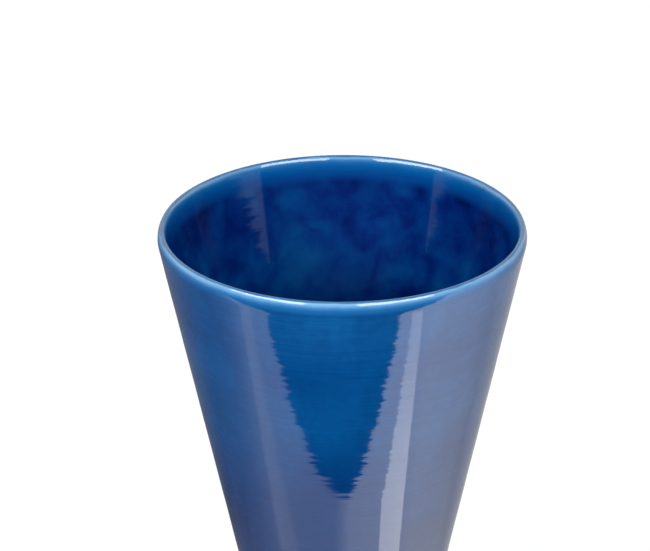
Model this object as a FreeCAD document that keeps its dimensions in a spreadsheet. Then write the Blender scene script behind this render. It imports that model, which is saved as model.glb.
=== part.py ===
"""A tapered flower vase: one thrown and fired clay body with three fused coats of glaze.

The clay body is a straight cone that narrows to a turned foot ring. The outer coat runs from the top of
the lip down to a line just above the foot, the inner coat lines the hollow and meets the outer coat on top
of the lip, and a thin coat covers the recess inside the foot ring. The ring itself is bare clay. Sizes are
in millimetres, +Z is up, and the origin is on the axis at the level that the foot ring stands on.
"""
import FreeCAD
import Part
import Sketcher
import math
import os

OUT = "parts"
START, END, CENTRE = 1, 2, 3  # the points of a sketch edge
ORIGIN = (-1, 1)  # the sketch's own origin point
X_AXIS = -1
FULL_TURN = 360

DIMENSIONS = [
    ("rim_diameter", 180.0, "widest diameter, over the glaze, at the lip"),
    ("height", 240.0, "from the foot ring to the top of the lip, over the glaze"),
    ("base_diameter", 81.0, "clay at the heel, where the wall meets the foot bevel"),
    ("foot_diameter", 75.0, "outside of the ring that the vase stands on"),
    ("foot_height", 4.0, "height of the foot bevel"),
    ("ring_width", 6.5, "width of the ring"),
    ("ring_round", 0.8, "rounding of the ring's two edges"),
    ("recess_depth", 3.5, "depth of the recess inside the ring"),
    ("recess_draft", 2.0, "how far the recess narrows on its way up"),
    ("floor_thickness", 6.5, "clay between the recess and the hollow"),
    ("floor_corner_radius", 14.0, "rounding between floor and inner wall"),
    ("wall_at_lip", 3.8, "clay thickness where the lip begins"),
    ("wall_at_floor", 5.2, "clay thickness at the bottom of the straight inner wall"),
    ("lip_side_radius", 8.5, "the two sides of the lip"),
    ("lip_crown_radius", 0.8, "top of the lip"),
    ("glaze_thickness", 0.45, "both coats, on the wall and the lip"),
    ("glaze_pool", 1.4, "inner coat on the floor, where it ran together"),
    ("bare_band", 2.0, "bare wall between the foot bevel and the outer coat's edge"),
    ("underside_glaze_thickness", 0.35, "coat in the recess"),
]

CROWN_LEVEL = "Dims.height - Dims.glaze_thickness - Dims.lip_crown_radius"
SHOULDER_REACH = "Dims.rim_diameter / 2 - Dims.glaze_thickness - Dims.lip_side_radius"
RECESS_REACH = "Dims.foot_diameter / 2 - Dims.ring_width"
FLOOR_LEVEL = "Dims.recess_depth + Dims.floor_thickness"
MID_FLOOR_LEVEL = "Dims.recess_depth + Dims.floor_thickness / 2"

doc = FreeCAD.newDocument("flower_vase")
sheet = doc.addObject("Spreadsheet::Sheet", "Dims")
for row, (alias, value, meaning) in enumerate(DIMENSIONS, start=1):
    sheet.set(f"A{row}", alias)
    sheet.set(f"B{row}", str(value))
    sheet.set(f"C{row}", meaning)
    sheet.setAlias(f"B{row}", alias)
doc.recompute()


def size(alias):
    """A driving dimension as a number, for the place where a sketch edge starts out."""
    return float(sheet.get(alias))


# ---------------------------------------------------------------- sketches

class Profile:
    """A half section in the XZ plane: edges with names, and constraints bound to the sheet."""

    def __init__(self, body, name):
        plane = next(f for f in body.Origin.OriginFeatures if f.Role == "XZ_Plane")
        self.sketch = body.newObject("Sketcher::SketchObject", name)
        self.sketch.AttachmentSupport = [(plane, "")]
        self.sketch.MapMode = "FlatFace"
        self.edges = {}

    def line(self, name, start, end):
        segment = Part.LineSegment(FreeCAD.Vector(*start, 0), FreeCAD.Vector(*end, 0))
        self.edges[name] = self.sketch.addGeometry(segment, False)

    def arc(self, name, centre, radius, start_angle, end_angle):
        circle = Part.Circle(FreeCAD.Vector(*centre, 0), FreeCAD.Vector(0, 0, 1), radius)
        curve = Part.ArcOfCircle(circle, start_angle, end_angle)
        self.edges[name] = self.sketch.addGeometry(curve, False)

    def _constrain(self, kind, *geometry):
        """Adds a constraint, in which a name stands for that edge."""
        indices = [self.edges.get(item, item) for item in geometry]
        return self.sketch.addConstraint(Sketcher.Constraint(kind, *indices))

    def _bind(self, name, formula, kind, *geometry):
        index = self._constrain(kind, *geometry)
        self.sketch.renameConstraint(index, name)
        self.sketch.setExpression(f"Constraints.{name}", formula)

    def meet(self, first, first_point, second, second_point):
        self._constrain("Coincident", first, first_point, second, second_point)

    def smooth(self, first, first_point, second, second_point):
        """The two edges meet there with one tangent."""
        self._constrain("Tangent", first, first_point, second, second_point)

    def chain(self, *names):
        """Each edge's end is the next one's start."""
        for first, second in zip(names, names[1:]):
            self.meet(first, END, second, START)

    def level(self, *names):
        for name in names:
            self._constrain("Horizontal", name)

    def upright(self, *names):
        for name in names:
            self._constrain("Vertical", name)

    def square(self, first, second):
        self._constrain("Perpendicular", first, second)

    def centres_level(self, first, second):
        """The two arcs have their centres at one height."""
        self._constrain("Horizontal", first, CENTRE, second, CENTRE)

    def on_axis(self, name, point):
        """That point lies on the axis of revolution."""
        self._constrain("DistanceX", *ORIGIN, name, point, 0)

    def across(self, label, edge, point, formula, value):
        """Distance of that point from the axis."""
        self._bind(label, formula, "DistanceX", *ORIGIN, edge, point, value)

    def up(self, label, edge, point, formula, value):
        """Height of that point above the ground."""
        self._bind(label, formula, "DistanceY", *ORIGIN, edge, point, value)

    def radius(self, edge, formula, value):
        self._bind(f"{edge}_radius", formula, "Radius", edge, value)

    def length(self, edge, formula, value):
        self._bind(f"{edge}_length", formula, "Distance", edge, value)

    def gap(self, label, edge, point, line, formula, value):
        """Distance of that point from a straight edge."""
        self._bind(label, formula, "Distance", edge, point, line, value)

    def slope(self, edge, formula, value):
        """Angle of a straight edge from the horizontal."""
        self._bind(f"{edge}_slope", formula, "Angle", X_AXIS, edge, value)

    def reading(self, label, kind, *geometry):
        """A size that the solver works out, which other sketches read by this name."""
        index = self._constrain(kind, *geometry)
        self.sketch.setDriving(index, False)
        self.sketch.renameConstraint(index, label)


def away(start, angle, distance):
    """The point that far from start, in that direction."""
    return (start[0] + distance * math.cos(angle), start[1] + distance * math.sin(angle))


# ---------------------------------------------------------------- where the sketch edges start out
# The solver moves every edge to its exact place. These are near enough for it to find the right one.

glaze = size("glaze_thickness")
side_radius = size("lip_side_radius")
crown_radius = size("lip_crown_radius")
corner_radius = size("floor_corner_radius")
clay_rim = size("rim_diameter") / 2 - glaze
clay_top = size("height") - glaze
heel = (size("base_diameter") / 2, size("foot_height"))
floor_level = size("recess_depth") + size("floor_thickness")
mid_floor_level = size("recess_depth") + size("floor_thickness") / 2

lean = math.atan2(clay_rim - heel[0], clay_top - heel[1])  # of the wall, from upright
outward = -lean  # square to the wall, away from the axis
inward = math.pi - lean
up_wall = math.pi / 2 - lean
down_wall = up_wall - math.pi

half_spread = side_radius - size("wall_at_lip") / 2  # from the lip's middle to either side's centre
arch = math.sqrt((side_radius - crown_radius) ** 2 - half_spread ** 2)
turn = math.atan2(arch, half_spread)  # direction in which the outer side meets the crown
crown_centre = (clay_rim - side_radius + half_spread, clay_top - crown_radius)
shoulder_centre = (crown_centre[0] - half_spread, crown_centre[1] - arch)
lining_centre = (crown_centre[0] + half_spread, crown_centre[1] - arch)


def inner_wall(start, bend_level):
    """The inner wall from there down to where it bends into the floor."""
    return away(start, down_wall, (start[1] - bend_level) / math.cos(lean))


# ---------------------------------------------------------------- clay body

def build_clay_body():
    """The thrown wall and floor, the turned foot ring and its recess, as one piece of fired clay."""
    body = doc.addObject("PartDesign::Body", "ClayBody")
    body.Label = "clay_body"
    thrown = turned(body, "Thrown", draw_wall(body))
    recess = body.newObject("PartDesign::Groove", "FootRecess")
    profile = draw_recess(body)
    recess.Profile = (profile, [""])
    recess.ReferenceAxis = (profile, ["V_Axis"])
    recess.Angle = FULL_TURN
    doc.recompute()
    if recess.Shape.Volume >= thrown.Shape.Volume:
        raise RuntimeError("the foot recess cut nothing")

    rounds = body.newObject("PartDesign::Fillet", "RingRounds")
    rounds.Base = (recess, ground_edges(recess.Shape))
    rounds.setExpression("Radius", "Dims.ring_round")
    doc.recompute()
    body.Placement = FreeCAD.Placement()
    return body


def turned(body, name, profile):
    """A full turn of that half section about the axis."""
    solid = body.newObject("PartDesign::Revolution", name)
    solid.Profile = (profile, [""])
    solid.ReferenceAxis = (profile, ["V_Axis"])
    solid.Angle = FULL_TURN
    doc.recompute()
    return solid


def ground_edges(shape):
    """The names of the circular edges at the level that the vase stands on."""
    return [f"Edge{number}" for number, edge in enumerate(shape.Edges, start=1)
            if edge.BoundBox.ZMax < 1e-6 and isinstance(edge.Curve, Part.Circle)]


def draw_wall(body):
    """Outer wall, lip, inner wall, floor, axis, underside and foot bevel, in that order."""
    foot = (size("foot_diameter") / 2, 0)
    wall_top = away(shoulder_centre, outward, side_radius)
    inner_top = away(lining_centre, inward, side_radius)
    inner_bottom = inner_wall(inner_top, floor_level + corner_radius)
    corner_centre = away(inner_bottom, inward, corner_radius)
    p = Profile(body, "WallProfile")
    p.line("wall", heel, wall_top)
    p.arc("shoulder", shoulder_centre, side_radius, outward, turn)
    p.arc("crown", crown_centre, crown_radius, turn, math.pi - turn)
    p.arc("lining", lining_centre, side_radius, math.pi - turn, inward)
    p.line("inner", inner_top, inner_bottom)
    p.arc("corner", corner_centre, corner_radius, -math.pi / 2, outward)
    p.line("floor", (corner_centre[0], floor_level), (0, floor_level))
    p.line("axis", (0, floor_level), (0, 0))
    p.line("underside", (0, 0), foot)
    p.line("bevel", foot, heel)

    p.smooth("wall", END, "shoulder", START)
    p.smooth("shoulder", END, "crown", START)
    p.smooth("crown", END, "lining", START)
    p.smooth("lining", END, "inner", START)
    p.smooth("inner", END, "corner", END)
    p.smooth("corner", START, "floor", START)
    p.chain("floor", "axis", "underside", "bevel", "wall")
    p.meet("axis", END, *ORIGIN)
    p.level("floor", "underside")
    p.upright("axis")
    p.centres_level("shoulder", "lining")

    p.across("foot_reach", "underside", END, "Dims.foot_diameter / 2", foot[0])
    p.across("heel_reach", "wall", START, "Dims.base_diameter / 2", heel[0])
    p.up("heel_level", "wall", START, "Dims.foot_height", heel[1])
    p.up("floor_level", "floor", END, FLOOR_LEVEL, floor_level)
    p.radius("shoulder", "Dims.lip_side_radius", side_radius)
    p.radius("crown", "Dims.lip_crown_radius", crown_radius)
    p.radius("lining", "Dims.lip_side_radius", side_radius)
    p.radius("corner", "Dims.floor_corner_radius", corner_radius)
    p.across("shoulder_reach", "shoulder", CENTRE, SHOULDER_REACH, shoulder_centre[0])
    p.up("crown_level", "crown", CENTRE, CROWN_LEVEL, crown_centre[1])
    p.gap("wall_at_lip", "inner", START, "wall", "Dims.wall_at_lip", size("wall_at_lip"))
    p.gap("wall_at_floor", "inner", END, "wall", "Dims.wall_at_floor", size("wall_at_floor"))

    p.reading("crown_reach", "DistanceX", *ORIGIN, "crown", CENTRE, crown_centre[0])
    p.reading("arch_level", "DistanceY", *ORIGIN, "lining", CENTRE, lining_centre[1])
    p.reading("wall_slope", "Angle", X_AXIS, "wall", up_wall)
    p.reading("inner_slope", "Angle", X_AXIS, "inner", down_wall)
    doc.recompute()
    return p.sketch


def draw_recess(body):
    """The hollow under the floor, inside the ring."""
    mouth = size("foot_diameter") / 2 - size("ring_width")
    ceiling = mouth - size("recess_draft")
    depth = size("recess_depth")
    p = Profile(body, "RecessProfile")
    p.line("mouth", (0, 0), (mouth, 0))
    p.line("side", (mouth, 0), (ceiling, depth))
    p.line("ceiling", (ceiling, depth), (0, depth))
    p.line("axis", (0, depth), (0, 0))
    p.chain("mouth", "side", "ceiling", "axis", "mouth")
    p.meet("axis", END, *ORIGIN)
    p.level("mouth", "ceiling")
    p.upright("axis")
    p.across("mouth_reach", "mouth", END, RECESS_REACH, mouth)
    p.across("ceiling_reach", "side", END, RECESS_REACH + " - Dims.recess_draft", ceiling)
    p.up("depth", "ceiling", END, "Dims.recess_depth", depth)
    doc.recompute()
    return p.sketch


# ---------------------------------------------------------------- glaze coats
# Each coat is a turned form that reaches into the clay, less the clay body, so it fits the clay exactly.

def build_outer_glaze(clay_body):
    """From the top of the lip down the outside to the bare band, where it ends in a rounded bead."""
    band_level = size("foot_height") + size("bare_band")
    band = (heel[0] + size("bare_band") * math.tan(lean), band_level)
    half_wall = size("wall_at_floor") / 2
    bead_foot = away(band, down_wall, glaze)
    inside = away(bead_foot, inward, half_wall)
    lip_top = away(crown_centre, math.pi / 2, crown_radius + glaze)
    wall_top = away(shoulder_centre, outward, side_radius + glaze)
    form = doc.addObject("PartDesign::Body", "OuterGlazeForm")
    p = Profile(form, "OuterGlazeProfile")
    p.line("wall", away(band, outward, glaze), wall_top)
    p.arc("shoulder", shoulder_centre, side_radius + glaze, outward, turn)
    p.arc("crown", crown_centre, crown_radius + glaze, turn, math.pi / 2)
    p.line("seam", lip_top, crown_centre)
    p.line("inside", crown_centre, inside)
    p.line("end", inside, bead_foot)
    p.arc("bead", band, glaze, down_wall, outward)

    p.smooth("wall", END, "shoulder", START)
    p.smooth("shoulder", END, "crown", START)
    p.chain("crown", "seam", "inside", "end", "bead")
    p.smooth("bead", END, "wall", START)
    p.meet("seam", END, "crown", CENTRE)
    p.upright("seam")
    p.square("end", "wall")

    p.radius("shoulder", "Dims.lip_side_radius + Dims.glaze_thickness", side_radius + glaze)
    p.radius("crown", "Dims.lip_crown_radius + Dims.glaze_thickness", crown_radius + glaze)
    p.radius("bead", "Dims.glaze_thickness", glaze)
    p.across("shoulder_reach", "shoulder", CENTRE, SHOULDER_REACH, shoulder_centre[0])
    p.across("crown_reach", "crown", CENTRE, "WallProfile.Constraints.crown_reach", crown_centre[0])
    p.up("crown_level", "crown", CENTRE, CROWN_LEVEL, crown_centre[1])
    p.slope("wall", "WallProfile.Constraints.wall_slope", up_wall)
    p.up("band_level", "bead", CENTRE, "Dims.foot_height + Dims.bare_band", band_level)
    p.gap("bead_drop", "bead", CENTRE, "end", "Dims.glaze_thickness", glaze)
    p.length("end", "Dims.wall_at_floor / 2", half_wall)
    doc.recompute()
    return coat("outer_glaze", form, p.sketch, clay_body)


def build_inner_glaze(clay_body):
    """From the top of the lip down the inside, over the corner and into a pool on the floor."""
    pool_level = floor_level + size("glaze_pool")
    bend_radius = corner_radius - glaze
    lip_top = away(crown_centre, math.pi / 2, crown_radius + glaze)
    surface_top = away(lining_centre, inward, side_radius + glaze)
    surface_bottom = inner_wall(surface_top, pool_level + bend_radius)
    bend_centre = away(surface_bottom, inward, bend_radius)
    bed = (heel[0] - size("wall_at_floor") / 2, mid_floor_level)
    form = doc.addObject("PartDesign::Body", "InnerGlazeForm")
    p = Profile(form, "InnerGlazeProfile")
    p.arc("crown", crown_centre, crown_radius + glaze, math.pi / 2, math.pi - turn)
    p.arc("lining", lining_centre, side_radius + glaze, math.pi - turn, inward)
    p.line("surface", surface_top, surface_bottom)
    p.arc("corner", bend_centre, bend_radius, -math.pi / 2, outward)
    p.line("pool", (bend_centre[0], pool_level), (0, pool_level))
    p.line("axis", (0, pool_level), (0, mid_floor_level))
    p.line("bed", (0, mid_floor_level), bed)
    p.line("inside", bed, crown_centre)
    p.line("seam", crown_centre, lip_top)

    p.smooth("crown", END, "lining", START)
    p.smooth("lining", END, "surface", START)
    p.smooth("surface", END, "corner", END)
    p.smooth("corner", START, "pool", START)
    p.chain("pool", "axis", "bed", "inside", "seam", "crown")
    p.meet("seam", START, "crown", CENTRE)
    p.level("pool", "bed")
    p.upright("seam", "axis")
    p.on_axis("axis", END)

    p.radius("crown", "Dims.lip_crown_radius + Dims.glaze_thickness", crown_radius + glaze)
    p.radius("lining", "Dims.lip_side_radius + Dims.glaze_thickness", side_radius + glaze)
    p.radius("corner", "Dims.floor_corner_radius - Dims.glaze_thickness", bend_radius)
    p.across("crown_reach", "crown", CENTRE, "WallProfile.Constraints.crown_reach", crown_centre[0])
    p.up("crown_level", "crown", CENTRE, CROWN_LEVEL, crown_centre[1])
    p.up("arch_level", "lining", CENTRE, "WallProfile.Constraints.arch_level", lining_centre[1])
    p.slope("surface", "WallProfile.Constraints.inner_slope", down_wall)
    p.up("pool_level", "pool", END, FLOOR_LEVEL + " + Dims.glaze_pool", pool_level)
    p.up("bed_level", "bed", END, MID_FLOOR_LEVEL, mid_floor_level)
    p.across("bed_reach", "bed", END, "(Dims.base_diameter - Dims.wall_at_floor) / 2", bed[0])
    doc.recompute()
    return coat("inner_glaze", form, p.sketch, clay_body)


def build_underside_glaze(clay_body):
    """A disc on the ceiling of the foot recess."""
    surface = size("recess_depth") - size("underside_glaze_thickness")
    reach = size("foot_diameter") / 2 - size("ring_width")
    form = doc.addObject("PartDesign::Body", "UndersideGlazeForm")
    p = Profile(form, "UndersideGlazeProfile")
    p.line("surface", (0, surface), (reach, surface))
    p.line("side", (reach, surface), (reach, mid_floor_level))
    p.line("bed", (reach, mid_floor_level), (0, mid_floor_level))
    p.line("axis", (0, mid_floor_level), (0, surface))
    p.chain("surface", "side", "bed", "axis", "surface")
    p.level("surface", "bed")
    p.upright("side", "axis")
    p.on_axis("axis", END)
    p.across("side_reach", "side", START, RECESS_REACH, reach)
    p.up("surface_level", "surface", END, "Dims.recess_depth - Dims.underside_glaze_thickness", surface)
    p.up("bed_level", "side", END, MID_FLOOR_LEVEL, mid_floor_level)
    doc.recompute()
    return coat("underside_glaze", form, p.sketch, clay_body)


def coat(label, form, profile, clay_body):
    """Turns a coat's half section about the axis and takes the clay body out of it."""
    turned(form, form.Name + "Turned", profile)
    made = doc.addObject("Part::Cut", form.Name.replace("Form", ""))
    made.Label = label
    made.Base = form
    made.Tool = clay_body
    made.Placement = FreeCAD.Placement()
    doc.recompute()
    return made


# ---------------------------------------------------------------- build, check, write

def check(subparts):
    """Stops the build at a failed feature, a loose sketch or a sub-part that isn't one valid solid."""
    doc.recompute()
    for item in doc.Objects:
        if "Invalid" in item.State or "Error" in item.State:
            raise RuntimeError(f"{item.Name} failed: {item.State}")
        if item.isDerivedFrom("Sketcher::SketchObject"):
            if item.solve() != 0 or not item.FullyConstrained:
                raise RuntimeError(f"{item.Name} isn't fully held by its constraints")
    for part in subparts:
        shape = part.Shape
        if shape.isNull() or not shape.isValid() or len(shape.Solids) != 1:
            raise RuntimeError(f"{part.Label} isn't one valid solid")


def write(subparts):
    os.makedirs(OUT, exist_ok=True)
    for part in subparts:
        part.Shape.exportStep(os.path.join(OUT, part.Label + ".step"))
        box = part.Shape.optimalBoundingBox(False, False)
        print(f"{part.Label}: {part.Shape.Volume:.1f} mm3, {box.XLength:.2f} mm across, "
              f"z {box.ZMin:.2f} to {box.ZMax:.2f}")


clay = build_clay_body()
pieces = [clay, build_outer_glaze(clay), build_inner_glaze(clay), build_underside_glaze(clay)]
check(pieces)
write(pieces)
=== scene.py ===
"""Looks of the flower vase: a thrown pot in glossy translucent blue glaze over pale clay.

Metres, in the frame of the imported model: +Z up, origin on the axis at the level that the foot stands on.
"""
import math

import bpy
import numpy as np
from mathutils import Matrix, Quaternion, Vector

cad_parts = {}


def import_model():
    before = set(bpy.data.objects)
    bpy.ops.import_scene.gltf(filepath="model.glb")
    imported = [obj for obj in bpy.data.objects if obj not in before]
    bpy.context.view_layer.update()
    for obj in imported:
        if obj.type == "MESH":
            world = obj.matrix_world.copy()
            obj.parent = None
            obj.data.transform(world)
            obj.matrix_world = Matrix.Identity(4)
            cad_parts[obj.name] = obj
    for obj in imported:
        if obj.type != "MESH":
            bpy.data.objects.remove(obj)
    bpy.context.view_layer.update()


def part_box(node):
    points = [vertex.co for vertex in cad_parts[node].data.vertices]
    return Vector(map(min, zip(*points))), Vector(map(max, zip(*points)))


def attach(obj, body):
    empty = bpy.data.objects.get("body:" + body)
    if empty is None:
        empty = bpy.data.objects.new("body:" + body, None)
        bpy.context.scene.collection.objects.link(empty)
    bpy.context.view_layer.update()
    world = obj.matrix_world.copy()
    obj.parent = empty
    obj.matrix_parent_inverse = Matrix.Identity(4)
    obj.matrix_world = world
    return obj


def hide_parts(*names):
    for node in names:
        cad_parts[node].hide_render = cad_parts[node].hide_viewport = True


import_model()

# ---------------------------------------------------------------- sizes

outer_low, outer_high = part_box("outer_glaze")
inner_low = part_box("inner_glaze")[0]
clay_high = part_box("clay_body")[1]
under_low, under_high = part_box("underside_glaze")

RIM_RADIUS = outer_high.x
HEIGHT = outer_high.z
GLAZE = outer_high.z - clay_high.z
SIDE_RADIUS = 0.0085  # of the clay, on both sides of the lip
CROWN_RADIUS = 0.0008
WALL_AT_LIP = 0.0038
WALL_AT_FLOOR = 0.0052
HEEL = (0.0405, 0.004)  # where the clay wall meets the foot bevel
FOOT_RADIUS = 0.0375
RING_WIDTH = 0.0065
RING_ROUND = 0.0008
RECESS_DEPTH = under_high.z
RECESS_DRAFT = 0.002
FLOOR_LEVEL = inner_low.z
CORNER_RADIUS = 0.014
GLAZE_POOL = 0.0014
GLAZE_LINE = outer_low.z + GLAZE
UNDER_GLAZE = under_high.z - under_low.z

SEGMENTS = 168  # round the axis
WALL_STEP = 0.00046  # between rings of the outer wall, fine enough for its throwing marks
LINING_STEP = 0.0009
COARSE_STEP = 0.02  # where the coats and the clay meet, unseen


def away(start, angle, distance):
    """The point that far from start, in that direction, in the plane of the section."""
    return (start[0] + distance * math.cos(angle), start[1] + distance * math.sin(angle))


class Section:
    """The clay's half section: where its arcs are centred and how the wall leans."""

    def __init__(self):
        top = HEIGHT - GLAZE
        reach = RIM_RADIUS - GLAZE
        self.lean = math.atan2(reach - HEEL[0], top - HEEL[1])
        for _ in range(4):
            spread = (SIDE_RADIUS - WALL_AT_LIP / 2) / math.cos(self.lean)
            arch = math.sqrt((SIDE_RADIUS - CROWN_RADIUS) ** 2 - spread ** 2)
            self.shoulder = (reach - SIDE_RADIUS, top - CROWN_RADIUS - arch)
            run = (self.shoulder[0] - HEEL[0], self.shoulder[1] - HEEL[1])
            self.lean = math.atan2(run[0], run[1]) + math.asin(SIDE_RADIUS / math.hypot(*run))
        self.turn = math.atan2(arch, spread)
        self.crown = (self.shoulder[0] + spread, self.shoulder[1] + arch)
        self.lining = (self.crown[0] + spread, self.shoulder[1])
        inner_top = away(self.lining, math.pi - self.lean, SIDE_RADIUS)
        wall_direction = math.pi / 2 - self.lean
        bottom_level = FLOOR_LEVEL + CORNER_RADIUS * (1 - math.sin(self.lean))
        base = away(HEEL, math.pi - self.lean, WALL_AT_FLOOR)
        inner_bottom = away(base, wall_direction, (bottom_level - base[1]) / math.sin(wall_direction))
        self.inner_lean = math.atan2(inner_top[0] - inner_bottom[0], inner_top[1] - inner_bottom[1])
        self.corner = away(inner_bottom, math.pi - self.inner_lean, CORNER_RADIUS)


S = Section()


def arc(centre, radius, start, end, steps):
    return [away(centre, start + (end - start) * i / steps, radius) for i in range(steps + 1)]


def run(start, end, step):
    """Points along a straight stretch, without its two ends."""
    count = max(1, round(math.dist(start, end) / step))
    return [tuple(np.array(start) + (np.array(end) - start) * i / count) for i in range(1, count)]


# ---------------------------------------------------------------- throwing marks

class Marks:
    """The rings that fingers leave on a turning pot: a sum of shallow spirals, each a little out of step."""

    def __init__(self, seed, pitches, slope, lobes):
        rng = np.random.default_rng(seed)
        self.waves = []
        for pitch in pitches:
            own_pitch = pitch * rng.uniform(0.85, 1.15)
            turns = rng.integers(-lobes, lobes + 1)
            self.waves.append((own_pitch, turns, rng.uniform(0, math.tau)))
        self.slope = slope

    def height(self, level, azimuth):
        total = 0
        for pitch, turns, phase in self.waves:
            drift = 0.5 * np.sin(azimuth + phase)
            wave = np.sin(math.tau * level / pitch + turns * azimuth + phase + drift)
            total = total + self.slope * pitch / math.tau * wave
        return total


OUTER_MARKS = Marks(seed=3, pitches=(0.0026, 0.0033, 0.0037, 0.0046, 0.0075, 0.013, 0.031),
                    slope=0.0042, lobes=1)
INNER_MARKS = Marks(seed=8, pitches=(0.006, 0.0085, 0.011, 0.019, 0.034), slope=0.003, lobes=1)


def smoothstep(value, low, high):
    share = np.clip((value - low) / (high - low), 0, 1)
    return share * share * (3 - 2 * share)


# ---------------------------------------------------------------- turned meshes

def lathe(name, outline, move=None):
    """A closed mesh: that outline turned about the axis.

    An outline either closes on itself or starts and ends on the axis. move gives how far out each point goes.
    """
    outline = np.array(outline)
    azimuths = np.arange(SEGMENTS) * math.tau / SEGMENTS
    on_axis = outline[:, 0] < 1e-9
    rings = outline[~on_axis]
    radius = np.repeat(rings[:, :1], SEGMENTS, axis=1)
    level = np.repeat(rings[:, 1:], SEGMENTS, axis=1)
    angle = np.repeat(azimuths[None], len(rings), axis=0)
    if move is not None:
        radius = radius + move(radius, level, angle)
    points = np.stack([radius * np.cos(angle), radius * np.sin(angle), level], axis=-1).reshape(-1, 3)
    faces = []
    closed = not on_axis.any()
    for ring in range(len(rings) if closed else len(rings) - 1):
        this, following = ring * SEGMENTS, (ring + 1) % len(rings) * SEGMENTS
        for k in range(SEGMENTS):
            turn = (k + 1) % SEGMENTS
            faces.append((this + k, this + turn, following + turn, following + k))
    if not closed:
        points = np.vstack([points, [(0, 0, outline[0, 1])], [(0, 0, outline[-1, 1])]])
        first, last = len(points) - 2, len(points) - 1
        end = (len(rings) - 1) * SEGMENTS
        for k in range(SEGMENTS):
            turn = (k + 1) % SEGMENTS
            faces.append((first, turn, k))
            faces.append((last, end + k, end + turn))
    mesh = bpy.data.meshes.new(name)
    mesh.from_pydata(points.tolist(), [], faces)
    mesh.validate()
    mesh.update()
    piece = bpy.data.objects.new(name, mesh)
    bpy.context.scene.collection.objects.link(piece)
    for face in mesh.polygons:
        face.use_smooth = True
    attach(piece, "root")
    return piece


def outer_glaze():
    """The coat outside: lip, wall with throwing marks, and the rounded bead where it ends above the foot."""
    outward = -S.lean
    up_wall = math.pi / 2 - S.lean
    down_wall = -math.pi / 2 - S.lean
    bead = away(HEEL, up_wall, (GLAZE_LINE - HEEL[1]) / math.sin(up_wall))
    wall_top = away(S.shoulder, outward, SIDE_RADIUS + GLAZE)
    wall_bottom = away(bead, outward, GLAZE)
    outline = arc(S.crown, CROWN_RADIUS + GLAZE, math.pi / 2, S.turn, 10)
    outline += arc(S.shoulder, SIDE_RADIUS + GLAZE, S.turn, outward, 22)[1:]
    outline += run(wall_top, wall_bottom, WALL_STEP)
    outline += arc(bead, GLAZE, outward, down_wall, 6)
    clay_top = away(S.shoulder, outward, SIDE_RADIUS)
    outline += [bead] + run(bead, clay_top, COARSE_STEP)
    outline += arc(S.shoulder, SIDE_RADIUS, outward, S.turn, 6)
    outline += arc(S.crown, CROWN_RADIUS, S.turn, math.pi / 2, 3)[1:]

    def move(radius, level, angle):
        clay = HEEL[0] + (level - HEEL[1]) * math.tan(S.lean)
        on_surface = radius - clay > GLAZE / 2
        fade = smoothstep(level, GLAZE_LINE, GLAZE_LINE + 0.006) * smoothstep(level, HEIGHT, HEIGHT - 0.008)
        return np.where(on_surface, fade * OUTER_MARKS.height(level, angle), 0)

    return lathe("glaze_outside", outline, move=move)


def inner_glaze():
    """The coat inside: from the lip down the wall, round the corner and over the floor."""
    inward = math.pi - S.inner_lean
    pool = FLOOR_LEVEL + GLAZE_POOL
    bend = (S.corner[0] + 0.0002, pool + CORNER_RADIUS - GLAZE)
    outline = [(0, pool)] + run((0, pool), (bend[0], pool), 0.002)
    outline += arc(bend, CORNER_RADIUS - GLAZE, -math.pi / 2, -S.inner_lean, 14)
    surface_top = away(S.lining, math.pi - S.lean, SIDE_RADIUS + GLAZE)
    outline += run(outline[-1], surface_top, LINING_STEP)
    outline += arc(S.lining, SIDE_RADIUS + GLAZE, math.pi - S.lean, math.pi - S.turn, 12)
    outline += arc(S.crown, CROWN_RADIUS + GLAZE, math.pi - S.turn, math.pi / 2, 10)[1:]
    outline += arc(S.crown, CROWN_RADIUS, math.pi / 2, math.pi - S.turn, 3)
    outline += arc(S.lining, SIDE_RADIUS, math.pi - S.turn, inward, 6)[1:]
    clay_bottom = away(S.corner, -S.inner_lean, CORNER_RADIUS)
    outline += run(outline[-1], clay_bottom, COARSE_STEP)
    outline += arc(S.corner, CORNER_RADIUS, -S.inner_lean, -math.pi / 2, 8)
    outline += [(0, FLOOR_LEVEL)]

    def move(radius, level, angle):
        clay = np.interp(level, [FLOOR_LEVEL + CORNER_RADIUS, S.lining[1]],
                         [clay_bottom[0], away(S.lining, inward, SIDE_RADIUS)[0]])
        on_surface = clay - radius > GLAZE / 2
        fade = smoothstep(level, FLOOR_LEVEL + CORNER_RADIUS, 0.05) * smoothstep(level, HEIGHT, HEIGHT - 0.01)
        return np.where(on_surface, fade * INNER_MARKS.height(level, angle), 0)

    return lathe("glaze_inside", outline, move=move)


def clay_body():
    """The fired clay, with the turned foot that shows below the glaze."""
    inward = math.pi - S.inner_lean
    outline = [(0, FLOOR_LEVEL)] + arc(S.corner, CORNER_RADIUS, -math.pi / 2, -S.inner_lean, 8)
    inner_top = away(S.lining, inward, SIDE_RADIUS)
    outline += run(outline[-1], inner_top, COARSE_STEP)
    outline += arc(S.lining, SIDE_RADIUS, inward, math.pi - S.turn, 6)
    outline += arc(S.crown, CROWN_RADIUS, math.pi - S.turn, S.turn, 6)[1:]
    outline += arc(S.shoulder, SIDE_RADIUS, S.turn, -S.lean, 6)[1:]
    band_top = away(HEEL, math.pi / 2 - S.lean, 0.004)
    outline += run(outline[-1], band_top, COARSE_STEP) + [band_top] + run(band_top, HEEL, 0.0003)
    outline += foot_section()
    return lathe("clay_foot_and_body", outline)


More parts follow.
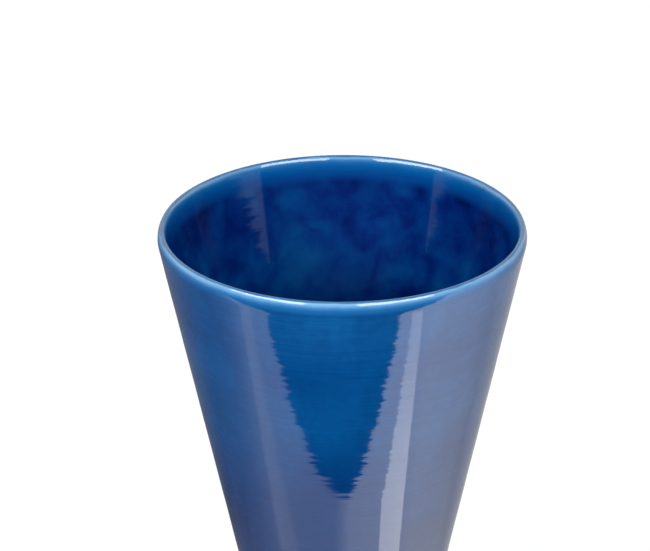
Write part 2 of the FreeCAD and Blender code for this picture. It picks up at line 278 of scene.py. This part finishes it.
def foot_section():
    """Heel, bevel, the ring with its rounded edges, and the recess."""
    mouth = FOOT_RADIUS - RING_WIDTH
    ceiling = mouth - RECESS_DRAFT
    outer_round = (FOOT_RADIUS - RING_ROUND * 0.75, RING_ROUND)
    inner_round = (mouth + RING_ROUND * 0.75, RING_ROUND)
    points = [HEEL] + run(HEEL, away(outer_round, -0.6, RING_ROUND), 0.0004)
    points += arc(outer_round, RING_ROUND, -0.6, -math.pi / 2, 6)
    points += run((outer_round[0], 0), (inner_round[0], 0), 0.0004)
    points += arc(inner_round, RING_ROUND, -math.pi / 2, -math.pi + 0.5, 6)
    side_end = (ceiling, RECESS_DEPTH)
    points += run(points[-1], side_end, 0.0006) + [side_end, (0, RECESS_DEPTH)]
    return points


def underside_glaze():
    mouth = FOOT_RADIUS - RING_WIDTH
    edge = mouth - RECESS_DRAFT
    low = RECESS_DEPTH - UNDER_GLAZE
    lower_edge = edge + UNDER_GLAZE * RECESS_DRAFT / RECESS_DEPTH
    outline = [(0, low)] + run((0, low), (lower_edge - UNDER_GLAZE, low), 0.0015)
    outline += arc((lower_edge - UNDER_GLAZE, RECESS_DEPTH), UNDER_GLAZE, -math.pi / 2, 0, 5)
    outline += [(0, RECESS_DEPTH)]
    return lathe("glaze_under_foot", outline)


# ---------------------------------------------------------------- material helpers

def material(name):
    made = bpy.data.materials.new(name)
    made.use_nodes = True
    made.node_tree.nodes.clear()
    return made, made.node_tree


def node(tree, kind, inputs=None, **settings):
    """A node with its settings, and its inputs by name: a socket is linked, anything else is a value."""
    made = tree.nodes.new(kind)
    for key, value in settings.items():
        setattr(made, key, value)
    for key, value in (inputs or {}).items():
        if isinstance(value, bpy.types.NodeSocket):
            tree.links.new(value, made.inputs[key])
        else:
            made.inputs[key].default_value = value
    return made


def calc(tree, operation, first, second=0.0):
    return node(tree, "ShaderNodeMath", {0: first, 1: second}, operation=operation).outputs[0]


def span(tree, value, low, high, start=0.0, end=1.0):
    """Value mapped smoothly from low..high to start..end."""
    made = node(tree, "ShaderNodeMapRange", {"Value": value, "From Min": low, "From Max": high,
                                             "To Min": start, "To Max": end}, interpolation_type="SMOOTHSTEP")
    return made.outputs["Result"]


def ramp(tree, value, stops):
    """A colour ramp from (position, (r, g, b)) stops."""
    made = node(tree, "ShaderNodeValToRGB", {"Fac": value})
    elements = made.color_ramp.elements
    while len(elements) < len(stops):
        elements.new(0.5)
    for element, (position, colour) in zip(elements, stops):
        element.position = position
        element.color = (*colour, 1)
    return made.outputs["Color"]


def blend(tree, factor, first, second, mode="MIX"):
    made = node(tree, "ShaderNodeMix", data_type="RGBA", blend_type=mode, clamp_result=False)
    sockets = {"Factor": made.inputs[0], "A": made.inputs[6], "B": made.inputs[7]}
    for key, value in (("Factor", factor), ("A", first), ("B", second)):
        if isinstance(value, bpy.types.NodeSocket):
            tree.links.new(value, sockets[key])
        else:
            sockets[key].default_value = value if key == "Factor" else (*value, 1)
    return made.outputs[2]


def stretched(tree, across, upright):
    """Object coordinates for a noise with that many features to the metre across and upright."""
    coords = node(tree, "ShaderNodeTexCoord").outputs["Object"]
    return node(tree, "ShaderNodeMapping", {"Vector": coords, "Scale": (across, across, upright)}).outputs[0]


def noise(tree, across, upright, detail=2.0, roughness=0.5, distortion=0.0):
    """Noise from 0 to 1 with that many features to the metre across and upright."""
    made = node(tree, "ShaderNodeTexNoise",
                {"Vector": stretched(tree, across, upright), "Scale": 1.0, "Detail": detail,
                 "Roughness": roughness, "Distortion": distortion})
    return made.outputs["Fac"]


def level_of(tree):
    coords = node(tree, "ShaderNodeTexCoord").outputs["Object"]
    return node(tree, "ShaderNodeSeparateXYZ", {"Vector": coords}).outputs["Z"]


def surface(tree, colour, roughness, height, depth):
    """The Principled surface and its output; height times depth is the bump in metres."""
    bump = node(tree, "ShaderNodeBump", {"Height": height, "Distance": depth, "Strength": 1.0})
    shader = node(tree, "ShaderNodeBsdfPrincipled",
                  {"Base Color": colour, "Roughness": roughness, "IOR": 1.5, "Normal": bump.outputs[0]})
    node(tree, "ShaderNodeOutputMaterial", {"Surface": shader.outputs[0]})


# ---------------------------------------------------------------- the pot's materials

LIP_BAND = 0.008  # the height over which the glaze pales towards the top where it breaks thin; it also holds a painted highlight band and a painted dark line on the crown
GLOSS = 0.05  # roughness of the glaze

def lip_share(tree, level):
    """From 0 at 8 mm below the top to 1 at the top, a little uneven round the lip."""
    drift = calc(tree, "MULTIPLY", calc(tree, "SUBTRACT", noise(tree, 90, 90), 0.5), 0.0009)
    below = calc(tree, "SUBTRACT", calc(tree, "ADD", level, drift), HEIGHT - LIP_BAND)
    return calc(tree, "DIVIDE", below, LIP_BAND)


def tint(tree, colour, value, low, high):
    """The colour times a shade that goes from low to high with the value."""
    return blend(tree, 1.0, colour, ramp(tree, value, [(0.28, low), (0.72, high)]), "MULTIPLY")


def glaze_outside_material():
    """Translucent blue over pale clay: it breaks pale at the edge of the lip, with a painted highlight band
    just below the crown and a painted dark reflection on the crown, and deepens down the wall.
    """
    made, tree = material("blue_glaze_outside")
    level = level_of(tree)
    drift = calc(tree, "MULTIPLY", calc(tree, "SUBTRACT", noise(tree, 14, 10), 0.5), 0.12)
    height = calc(tree, "ADD", calc(tree, "DIVIDE", level, HEIGHT), drift)
    body = ramp(tree, height, [
        (0.00, (0.0006, 0.020, 0.100)),
        (0.40, (0.0007, 0.029, 0.130)),
        (0.57, (0.0008, 0.039, 0.160)),
        (0.66, (0.0010, 0.056, 0.199)),
        (0.77, (0.0012, 0.059, 0.208)),
        (0.85, (0.0008, 0.050, 0.190)),
        (0.96, (0.0034, 0.066, 0.222)),
    ])
    rings = noise(tree, 26, 900, detail=3.0, roughness=0.65)
    mottle = noise(tree, 230, 230, detail=2.0)
    smudges = noise(tree, 24, 20, detail=2.0, distortion=0.6)
    body = tint(tree, body, rings, (0.84, 0.87, 0.89), (1.19, 1.14, 1.10))
    body = tint(tree, body, mottle, (0.90, 0.92, 0.94), (1.10, 1.08, 1.06))
    body = tint(tree, body, smudges, (0.72, 0.78, 0.84), (1.26, 1.20, 1.14))
    share = lip_share(tree, level)
    # Pale where the glaze breaks thin; the brightest stops (0.80 to 0.91) are a painted highlight band, and
    # the darker top stops (0.96, 1.00) are a painted dark reflection on the crown.
    lip = ramp(tree, share, [
        (0.12, (0.0050, 0.077, 0.243)),
        (0.50, (0.0100, 0.098, 0.280)),
        (0.66, (0.0360, 0.162, 0.370)),
        (0.80, (0.1150, 0.295, 0.535)),
        (0.91, (0.1700, 0.370, 0.600)),
        (0.96, (0.0500, 0.160, 0.340)),
        (1.00, (0.0300, 0.130, 0.310)),
    ])
    colour = blend(tree, span(tree, share, 0.1, 0.45), body, lip)
    surface(tree, colour, GLOSS, noise(tree, 18, 1000, detail=2.0), 0.00002)
    return made


def glaze_inside_material():
    """The same glaze lying thicker inside: mottled from navy to cobalt and teal, and pale at the lip where it
    breaks thin, with a painted highlight band inside the lip and a painted dark reflection on the crown.
    """
    made, tree = material("blue_glaze_inside")
    level = level_of(tree)
    clouds = noise(tree, 75, 75, detail=3.0, roughness=0.5, distortion=0.3)
    patches = noise(tree, 18, 16, detail=2.0)
    mix = calc(tree, "ADD", calc(tree, "MULTIPLY", clouds, 0.5), calc(tree, "MULTIPLY", patches, 0.5))
    mix = calc(tree, "ADD", mix, span(tree, level, 0.215, 0.165, -0.01, 0.09))
    body = ramp(tree, mix, [
        (0.36, (0.0003, 0.004, 0.060)),
        (0.48, (0.0003, 0.014, 0.120)),
        (0.58, (0.0003, 0.030, 0.160)),
        (0.70, (0.0004, 0.052, 0.190)),
    ])
    share = lip_share(tree, level)
    # Pale where the glaze breaks thin; the brightest stops (0.86 to 0.93) are a painted highlight band, and
    # the darker top stops (0.96, 1.00) are a painted dark reflection on the crown.
    lip = ramp(tree, share, [
        (0.00, (0.0005, 0.050, 0.220)),
        (0.38, (0.0005, 0.083, 0.290)),
        (0.62, (0.0090, 0.115, 0.340)),
        (0.76, (0.0400, 0.175, 0.420)),
        (0.86, (0.1200, 0.310, 0.560)),
        (0.93, (0.1300, 0.300, 0.520)),
        (0.96, (0.0500, 0.160, 0.340)),
        (1.00, (0.0300, 0.130, 0.310)),
    ])
    colour = blend(tree, span(tree, share, -0.75, 0.05), body, lip)
    surface(tree, colour, GLOSS, noise(tree, 12, 300, detail=2.0), 0.00003)
    return made


def clay_material():
    """Bare stoneware: pale buff with grog specks and fine turning lines."""
    made, tree = material("bare_clay")
    tone = ramp(tree, noise(tree, 60, 60, detail=4.0), [(0.3, (0.50, 0.40, 0.30)), (0.7, (0.64, 0.53, 0.41))])
    coords = node(tree, "ShaderNodeTexCoord").outputs["Object"]
    grains = node(tree, "ShaderNodeTexVoronoi", {"Vector": coords, "Scale": 900.0})
    specks = calc(tree, "LESS_THAN", grains.outputs["Distance"], 0.16)
    colour = blend(tree, calc(tree, "MULTIPLY", specks, 0.55), tone, (0.22, 0.15, 0.10))
    bump = calc(tree, "ADD", noise(tree, 1500, 1500, detail=3.0), noise(tree, 60, 2500))
    surface(tree, colour, 0.85, bump, 0.00008)
    return made


# ---------------------------------------------------------------- build the pot

def dress(piece, made, node_name):
    piece.data.materials.append(made)
    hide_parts(node_name)


outside = glaze_outside_material()
dress(outer_glaze(), outside, "outer_glaze")
dress(inner_glaze(), glaze_inside_material(), "inner_glaze")
dress(clay_body(), clay_material(), "clay_body")
dress(underside_glaze(), outside, "underside_glaze")

# ---------------------------------------------------------------- camera

CAMERA_ELEVATION = math.radians(24)
CAMERA_DISTANCE = 18.5 * RIM_RADIUS  # from the centre of the rim
SENSOR = 36.0  # millimetres
LENS = 189.4  # millimetres
ROLL = math.radians(-0.3)
rim_centre = Vector((0, 0, HEIGHT))
back = Vector((0, -math.cos(CAMERA_ELEVATION), math.sin(CAMERA_ELEVATION)))
aim = Vector((-0.0085, 0, HEIGHT - 0.027))
camera_data = bpy.data.cameras.new("camera")
camera_data.sensor_width = SENSOR
camera_data.lens = LENS
camera = bpy.data.objects.new("camera", camera_data)
camera.location = rim_centre + back * CAMERA_DISTANCE
facing = (aim - camera.location).to_track_quat("-Z", "Y")
camera.rotation_mode = "QUATERNION"
camera.rotation_quaternion = facing @ Quaternion((0, 0, 1), ROLL)
bpy.context.scene.collection.objects.link(camera)
bpy.context.scene.camera = camera

# ---------------------------------------------------------------- studio

AMBIENT = 0.25  # the world's light on the pot
LEFT_PEAK = 1.5  # radiance of the painted table light in reflections
RIGHT_PEAK = 3.0
STRIP_START = 31 / 180  # azimuth of the painted strip of light, in half turns
STRIP_END = 50.5 / 180

def lamp(name, azimuth, elevation, distance, width, height, radiance, in_reflections=True):
    """A softbox that faces the rim. Azimuth 0 is the camera's side, and positive is to its right."""
    data = bpy.data.lights.new(name, "AREA")
    data.shape = "RECTANGLE"
    data.size = width
    data.size_y = height
    data.energy = math.pi * width * height * radiance  # watts
    lamp_object = bpy.data.objects.new(name, data)
    turn = math.radians(azimuth)
    rise = math.radians(elevation)
    direction = Vector((math.sin(turn) * math.cos(rise), -math.cos(turn) * math.cos(rise), math.sin(rise)))
    lamp_object.location = rim_centre + direction * distance
    lamp_object.rotation_mode = "QUATERNION"
    lamp_object.rotation_quaternion = (-direction).to_track_quat("-Z", "Y")
    lamp_object.visible_glossy = in_reflections
    bpy.context.scene.collection.objects.link(lamp_object)


def axes(tree, coordinates):
    """x, y and z of the coordinates, and the azimuth in half turns, 0 at the front and 1 at the back."""
    coords = node(tree, "ShaderNodeTexCoord").outputs[coordinates]
    place = node(tree, "ShaderNodeSeparateXYZ", {"Vector": coords})
    x, y, z = place.outputs["X"], place.outputs["Y"], place.outputs["Z"]
    azimuth = calc(tree, "ARCTAN2", calc(tree, "ABSOLUTE", x), calc(tree, "MULTIPLY", y, -1.0))
    return x, y, z, calc(tree, "DIVIDE", azimuth, math.pi)


def weighed(tree, x, y, across, along, constant):
    """across * x + along * y + constant"""
    total = calc(tree, "ADD", calc(tree, "MULTIPLY", x, across), calc(tree, "MULTIPLY", y, along))
    return calc(tree, "ADD", total, constant)


def grey(*stops):
    return [(position, (level,) * 3) for position, level in stops]


def product(tree, first, *others):
    for other in others:
        first = calc(tree, "MULTIPLY", first, other)
    return first


def painted_right_reflection(tree, x, y, azimuth):
    """The right part of the painted table light, seen only in reflections: bright in front and fading round
    the side, with a brighter painted strip of light across it whose sides are the edges of the pot's painted
    shadow.
    """
    # Painted table light, fading with the azimuth round the side.
    painted_light_and_shadow = ramp(tree, azimuth, grey((0.0, 0.87), (0.33, 0.95), (0.62, 0.28), (0.75, 0.20), (1.0, 0.15)))
    coords = node(tree, "ShaderNodeTexCoord").outputs["Object"]
    distance = node(tree, "ShaderNodeVectorMath", {0: coords}, operation="LENGTH").outputs["Value"]
    near_side = calc(tree, "GREATER_THAN", weighed(tree, x, y, 0.63, 1.0, 0.085), 0.0)
    after = calc(tree, "GREATER_THAN", azimuth, STRIP_START)
    before = calc(tree, "LESS_THAN", azimuth, STRIP_END)
    # Painted pool of light, as if lit by both lamps, between the edges of the pot's painted shadow.
    painted_light_strip = product(tree, near_side, after, before, span(tree, distance, 0.305, 0.295),
                    span(tree, distance, 0.17, 0.30, 3.4, 1.6))
    return calc(tree, "ADD", product(tree, painted_light_and_shadow, RIGHT_PEAK), painted_light_strip)


def painted_left_reflection(tree, x, y):
    """The left part of the painted table light, seen only in reflections: a brighter painted stripe of light
    along its far edge, and the pot's painted shadow, dimmer and dimmer, behind that.
    """
    behind = calc(tree, "DIVIDE", weighed(tree, x, y, -0.333, 1.0, 0.136), 0.5)
    # Painted stripe of light, then the pot's painted shadow behind it.
    painted_light_and_shadow = ramp(tree, behind, grey((0.0, 0.86), (0.115, 0.80), (0.135, 1.0), (0.195, 1.0), (0.215, 0.62),
                                    (0.30, 0.33), (0.40, 0.17), (0.56, 0.085), (1.0, 0.13)))
    return product(tree, painted_light_and_shadow, LEFT_PEAK)


def painted_table_reflection(tree):
    """What the glaze reflects: painted light and painted shadows of the pot on the white table, in two parts
    that meet in front of the pot, and dark studio beyond.
    """
    x, y, _, azimuth = axes(tree, "Object")
    left_front = weighed(tree, x, y, -0.17, 1.0, 0.162)
    right_front = weighed(tree, x, y, 0.47, 1.0, 0.156)
    on_painted_table = calc(tree, "GREATER_THAN", calc(tree, "MAXIMUM", left_front, right_front), 0.0)
    left = painted_left_reflection(tree, x, y)
    right = painted_right_reflection(tree, x, y, azimuth)
    change = product(tree, span(tree, x, -0.02, 0.02), calc(tree, "SUBTRACT", right, left))
    return product(tree, calc(tree, "ADD", left, change), on_painted_table)


def floor_material():
    """A white table. In reflections it shows painted light and painted shadows of the pot, it ends in front
    of the pot, and the studio beyond is dark.
    """
    made, tree = material("white_table")
    path = node(tree, "ShaderNodeLightPath")
    painted_table_light = painted_table_reflection(tree)
    # Emission seen only in reflections: painted table light and painted shadows of the pot.
    reflected = node(tree, "ShaderNodeEmission", {"Color": (1, 1, 1, 1), "Strength": painted_table_light}).outputs[0]
    lit = node(tree, "ShaderNodeBsdfDiffuse", {"Color": (0.8, 0.8, 0.8, 1)}).outputs[0]
    white = node(tree, "ShaderNodeEmission", {"Color": (1, 1, 1, 1), "Strength": 1.12}).outputs[0]
    seen = node(tree, "ShaderNodeMixShader", {0: 0.2, 1: white, 2: lit}).outputs[0]
    straight = calc(tree, "MAXIMUM", path.outputs["Is Camera Ray"], path.outputs["Is Transmission Ray"])
    mixed = node(tree, "ShaderNodeMixShader", {0: straight, 1: lit, 2: seen}).outputs[0]
    glossy = path.outputs["Is Glossy Ray"]
    mixed = node(tree, "ShaderNodeMixShader", {0: glossy, 1: mixed, 2: reflected}).outputs[0]
    node(tree, "ShaderNodeOutputMaterial", {"Surface": mixed})
    return made


def floor():
    reach = 20.0
    mesh = bpy.data.meshes.new("floor")
    corners = [(-reach, -reach, 0), (reach, -reach, 0), (reach, reach, 0), (-reach, reach, 0)]
    mesh.from_pydata(corners, [], [(0, 1, 2, 3)])
    plane = bpy.data.objects.new("floor", mesh)
    plane.data.materials.append(floor_material())
    bpy.context.scene.collection.objects.link(plane)


def world():
    """White to the camera, soft fill for the pot, and in reflections white behind and dark elsewhere."""
    made = bpy.data.worlds.new("studio")
    made.use_nodes = True
    tree = made.node_tree
    tree.nodes.clear()
    path = node(tree, "ShaderNodeLightPath")
    _, _, z, azimuth = axes(tree, "Generated")
    behind = span(tree, azimuth, 0.35, 0.6, 0.06, 1.0)
    below_zenith = span(tree, z, 0.95, 0.6, 0.12, 1.0)
    backdrop = calc(tree, "MULTIPLY", behind, below_zenith)
    glossy = path.outputs["Is Glossy Ray"]
    straight = calc(tree, "MAXIMUM", path.outputs["Is Camera Ray"], path.outputs["Is Transmission Ray"])
    reflected = calc(tree, "MULTIPLY", glossy, backdrop)
    diffuse = calc(tree, "SUBTRACT", 1.0, calc(tree, "MAXIMUM", glossy, straight))
    fill = calc(tree, "MULTIPLY", diffuse, AMBIENT)
    strength = calc(tree, "ADD", calc(tree, "ADD", straight, reflected), fill)
    background = node(tree, "ShaderNodeBackground", {"Color": (1, 1, 1, 1), "Strength": strength})
    node(tree, "ShaderNodeOutputWorld", {"Surface": background.outputs[0]})
    bpy.context.scene.world = made


# ---------------------------------------------------------------- set the stage, and finish

floor()
world()
lamp("softbox_left", -47, 25.5, 1.3, 1.08, 0.32, 12.0)
lamp("softbox_right", 33, 25.5, 1.3, 1.04, 0.32, 10.5)
lamp("overhead_front", 0, 55, 1.5, 1.0, 0.6, 2.6, in_reflections=False)
lamp("fill_behind", 180, 20, 1.6, 1.6, 0.8, 1.2, in_reflections=False)
bpy.context.scene.view_settings.view_transform = "Standard"
